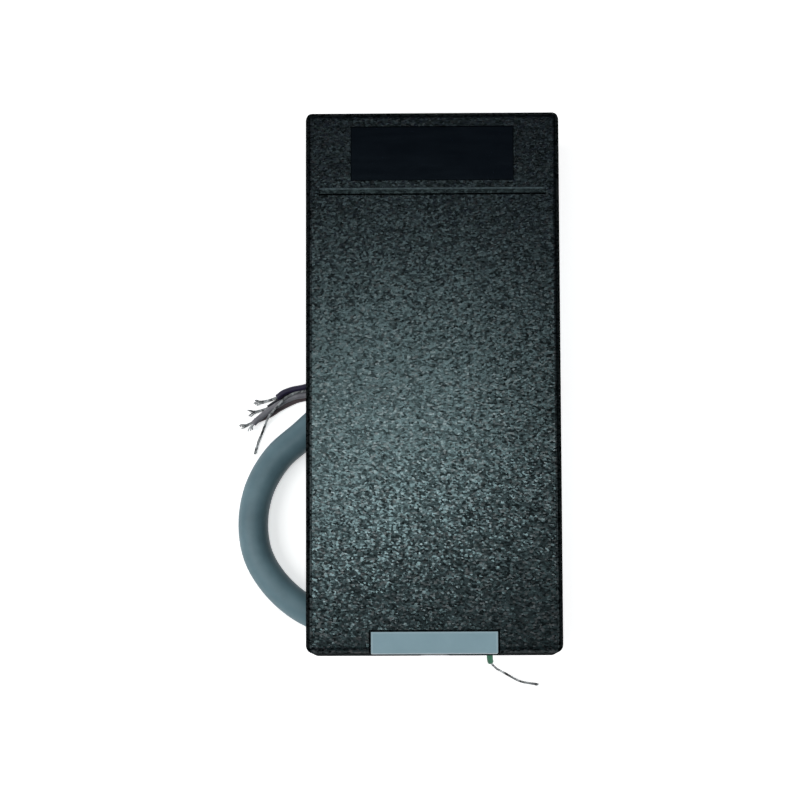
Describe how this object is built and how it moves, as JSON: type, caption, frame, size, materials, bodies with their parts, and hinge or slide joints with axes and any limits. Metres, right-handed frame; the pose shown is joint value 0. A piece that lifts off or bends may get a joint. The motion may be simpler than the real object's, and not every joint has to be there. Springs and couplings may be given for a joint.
{
  "type": "card reader",
  "caption": "Narrow wall-mount proximity card reader: textured housing, light bar, mounting plate with hooks and lock screw, folded cable tail with bare ends.",
  "frame": {"origin": "centre of the reader's body, housing and mounting plate together, without the cable", "axes": "+X to the reader's right as seen from the front, +Y towards its top, +Z out of its front face; it lies on its back"},
  "size_m": [0.0635, 0.1089, 0.031],
  "materials": {
    "housing_plastic": "fine-textured charcoal polycarbonate, softly shiny",
    "smooth_panel": "smooth near-black plastic, bare",
    "smoked_bar": "smoked translucent plastic",
    "clear_plastic": "clear moulded plastic",
    "pale_tab": "pale blue-grey satin plastic, bare",
    "lamp_white": "white lamp bodies",
    "copper": "etched copper track",
    "board_green": "green solder mask",
    "ferrite_grey": "dark flexible ferrite sheet",
    "white_plastic": "natural nylon",
    "zinc_steel": "bright zinc-plated steel",
    "chip_black": "black moulding compound",
    "bright_can": "bright metal can",
    "ceramic_tan": "ceramic chip parts",
    "lead_insulation": "thin coloured insulation",
    "cable_jacket": "grey flexible jacket, soft satin",
    "black_rubber": "black rubber",
    "back_plastic": "fine-textured dark plastic",
    "plate_plastic": "dark glass-filled plastic",
    "brass": "machined brass",
    "tie_nylon": "black nylon",
    "violet_wire": "dark violet insulation",
    "black_wire": "black insulation",
    "brown_wire": "brown insulation",
    "grey_wire": "grey insulation",
    "green_wire": "green insulation",
    "tinned_strand": "tinned copper strands, dulled"
  },
  "bodies": {
    "root": {"mounting_plate": "plate_plastic", "lock_insert": "brass", "cord_lead": "cable_jacket", "cord_loop": "cable_jacket", "cord_hank": "cable_jacket", "cable_tie": "tie_nylon", "wire_violet": "violet_wire", "wire_black": "black_wire", "wire_brown": "brown_wire", "wire_grey": "grey_wire", "wire_green": "green_wire", "wire_drain": "tinned_strand"},
    "reader": {"front_cover": "housing_plastic", "badge_panel": "smooth_panel", "light_bar": "smoked_bar", "light_guide": "clear_plastic", "trim_tab": "pale_tab", "status_leds": "lamp_white", "antenna_coil": "copper", "antenna_board": "board_green", "ferrite_sheet": "ferrite_grey", "antenna_spacers": "white_plastic", "main_board": "board_green", "board_screws": "zinc_steel", "controller_chip": "chip_black", "radio_chip": "chip_black", "crystal": "bright_can", "power_capacitor": "bright_can", "chip_parts": "ceramic_tan", "beeper": "chip_black", "tamper_sensor": "chip_black", "tamper_light_pipe": "clear_plastic", "cable_connector": "white_plastic", "internal_leads": "lead_insulation", "internal_cable": "cable_jacket", "strain_relief": "black_rubber", "cover_gasket": "black_rubber", "back_cover": "back_plastic", "cover_screws": "zinc_steel"},
    "lock_slide": {"screw_washer": "black_rubber"},
    "lock_turn": {"lock_screw": "zinc_steel"}
  },
  "joints": [
    {"name": "reader_tilt", "type": "hinge", "parent": "root", "child": "reader", "pos_m": [0, 0.0492, -0.0086], "axis": [-1, 0, 0], "range_deg": [0, 15]},
    {"name": "lock_travel", "type": "slide", "parent": "reader", "child": "lock_slide", "axis": [0, 1, 0], "range_m": [0, 0.0032]},
    {"name": "lock_turn", "type": "hinge", "parent": "lock_slide", "child": "lock_turn", "pos_m": [0, -0.0515, -0.0068], "axis": [0, 1, 0], "range_deg": [0, 1441]}
  ],
  "couplings": [
    {"joint": "lock_turn", "follows": "lock_travel", "rad_per_m": 7854}
  ]
}
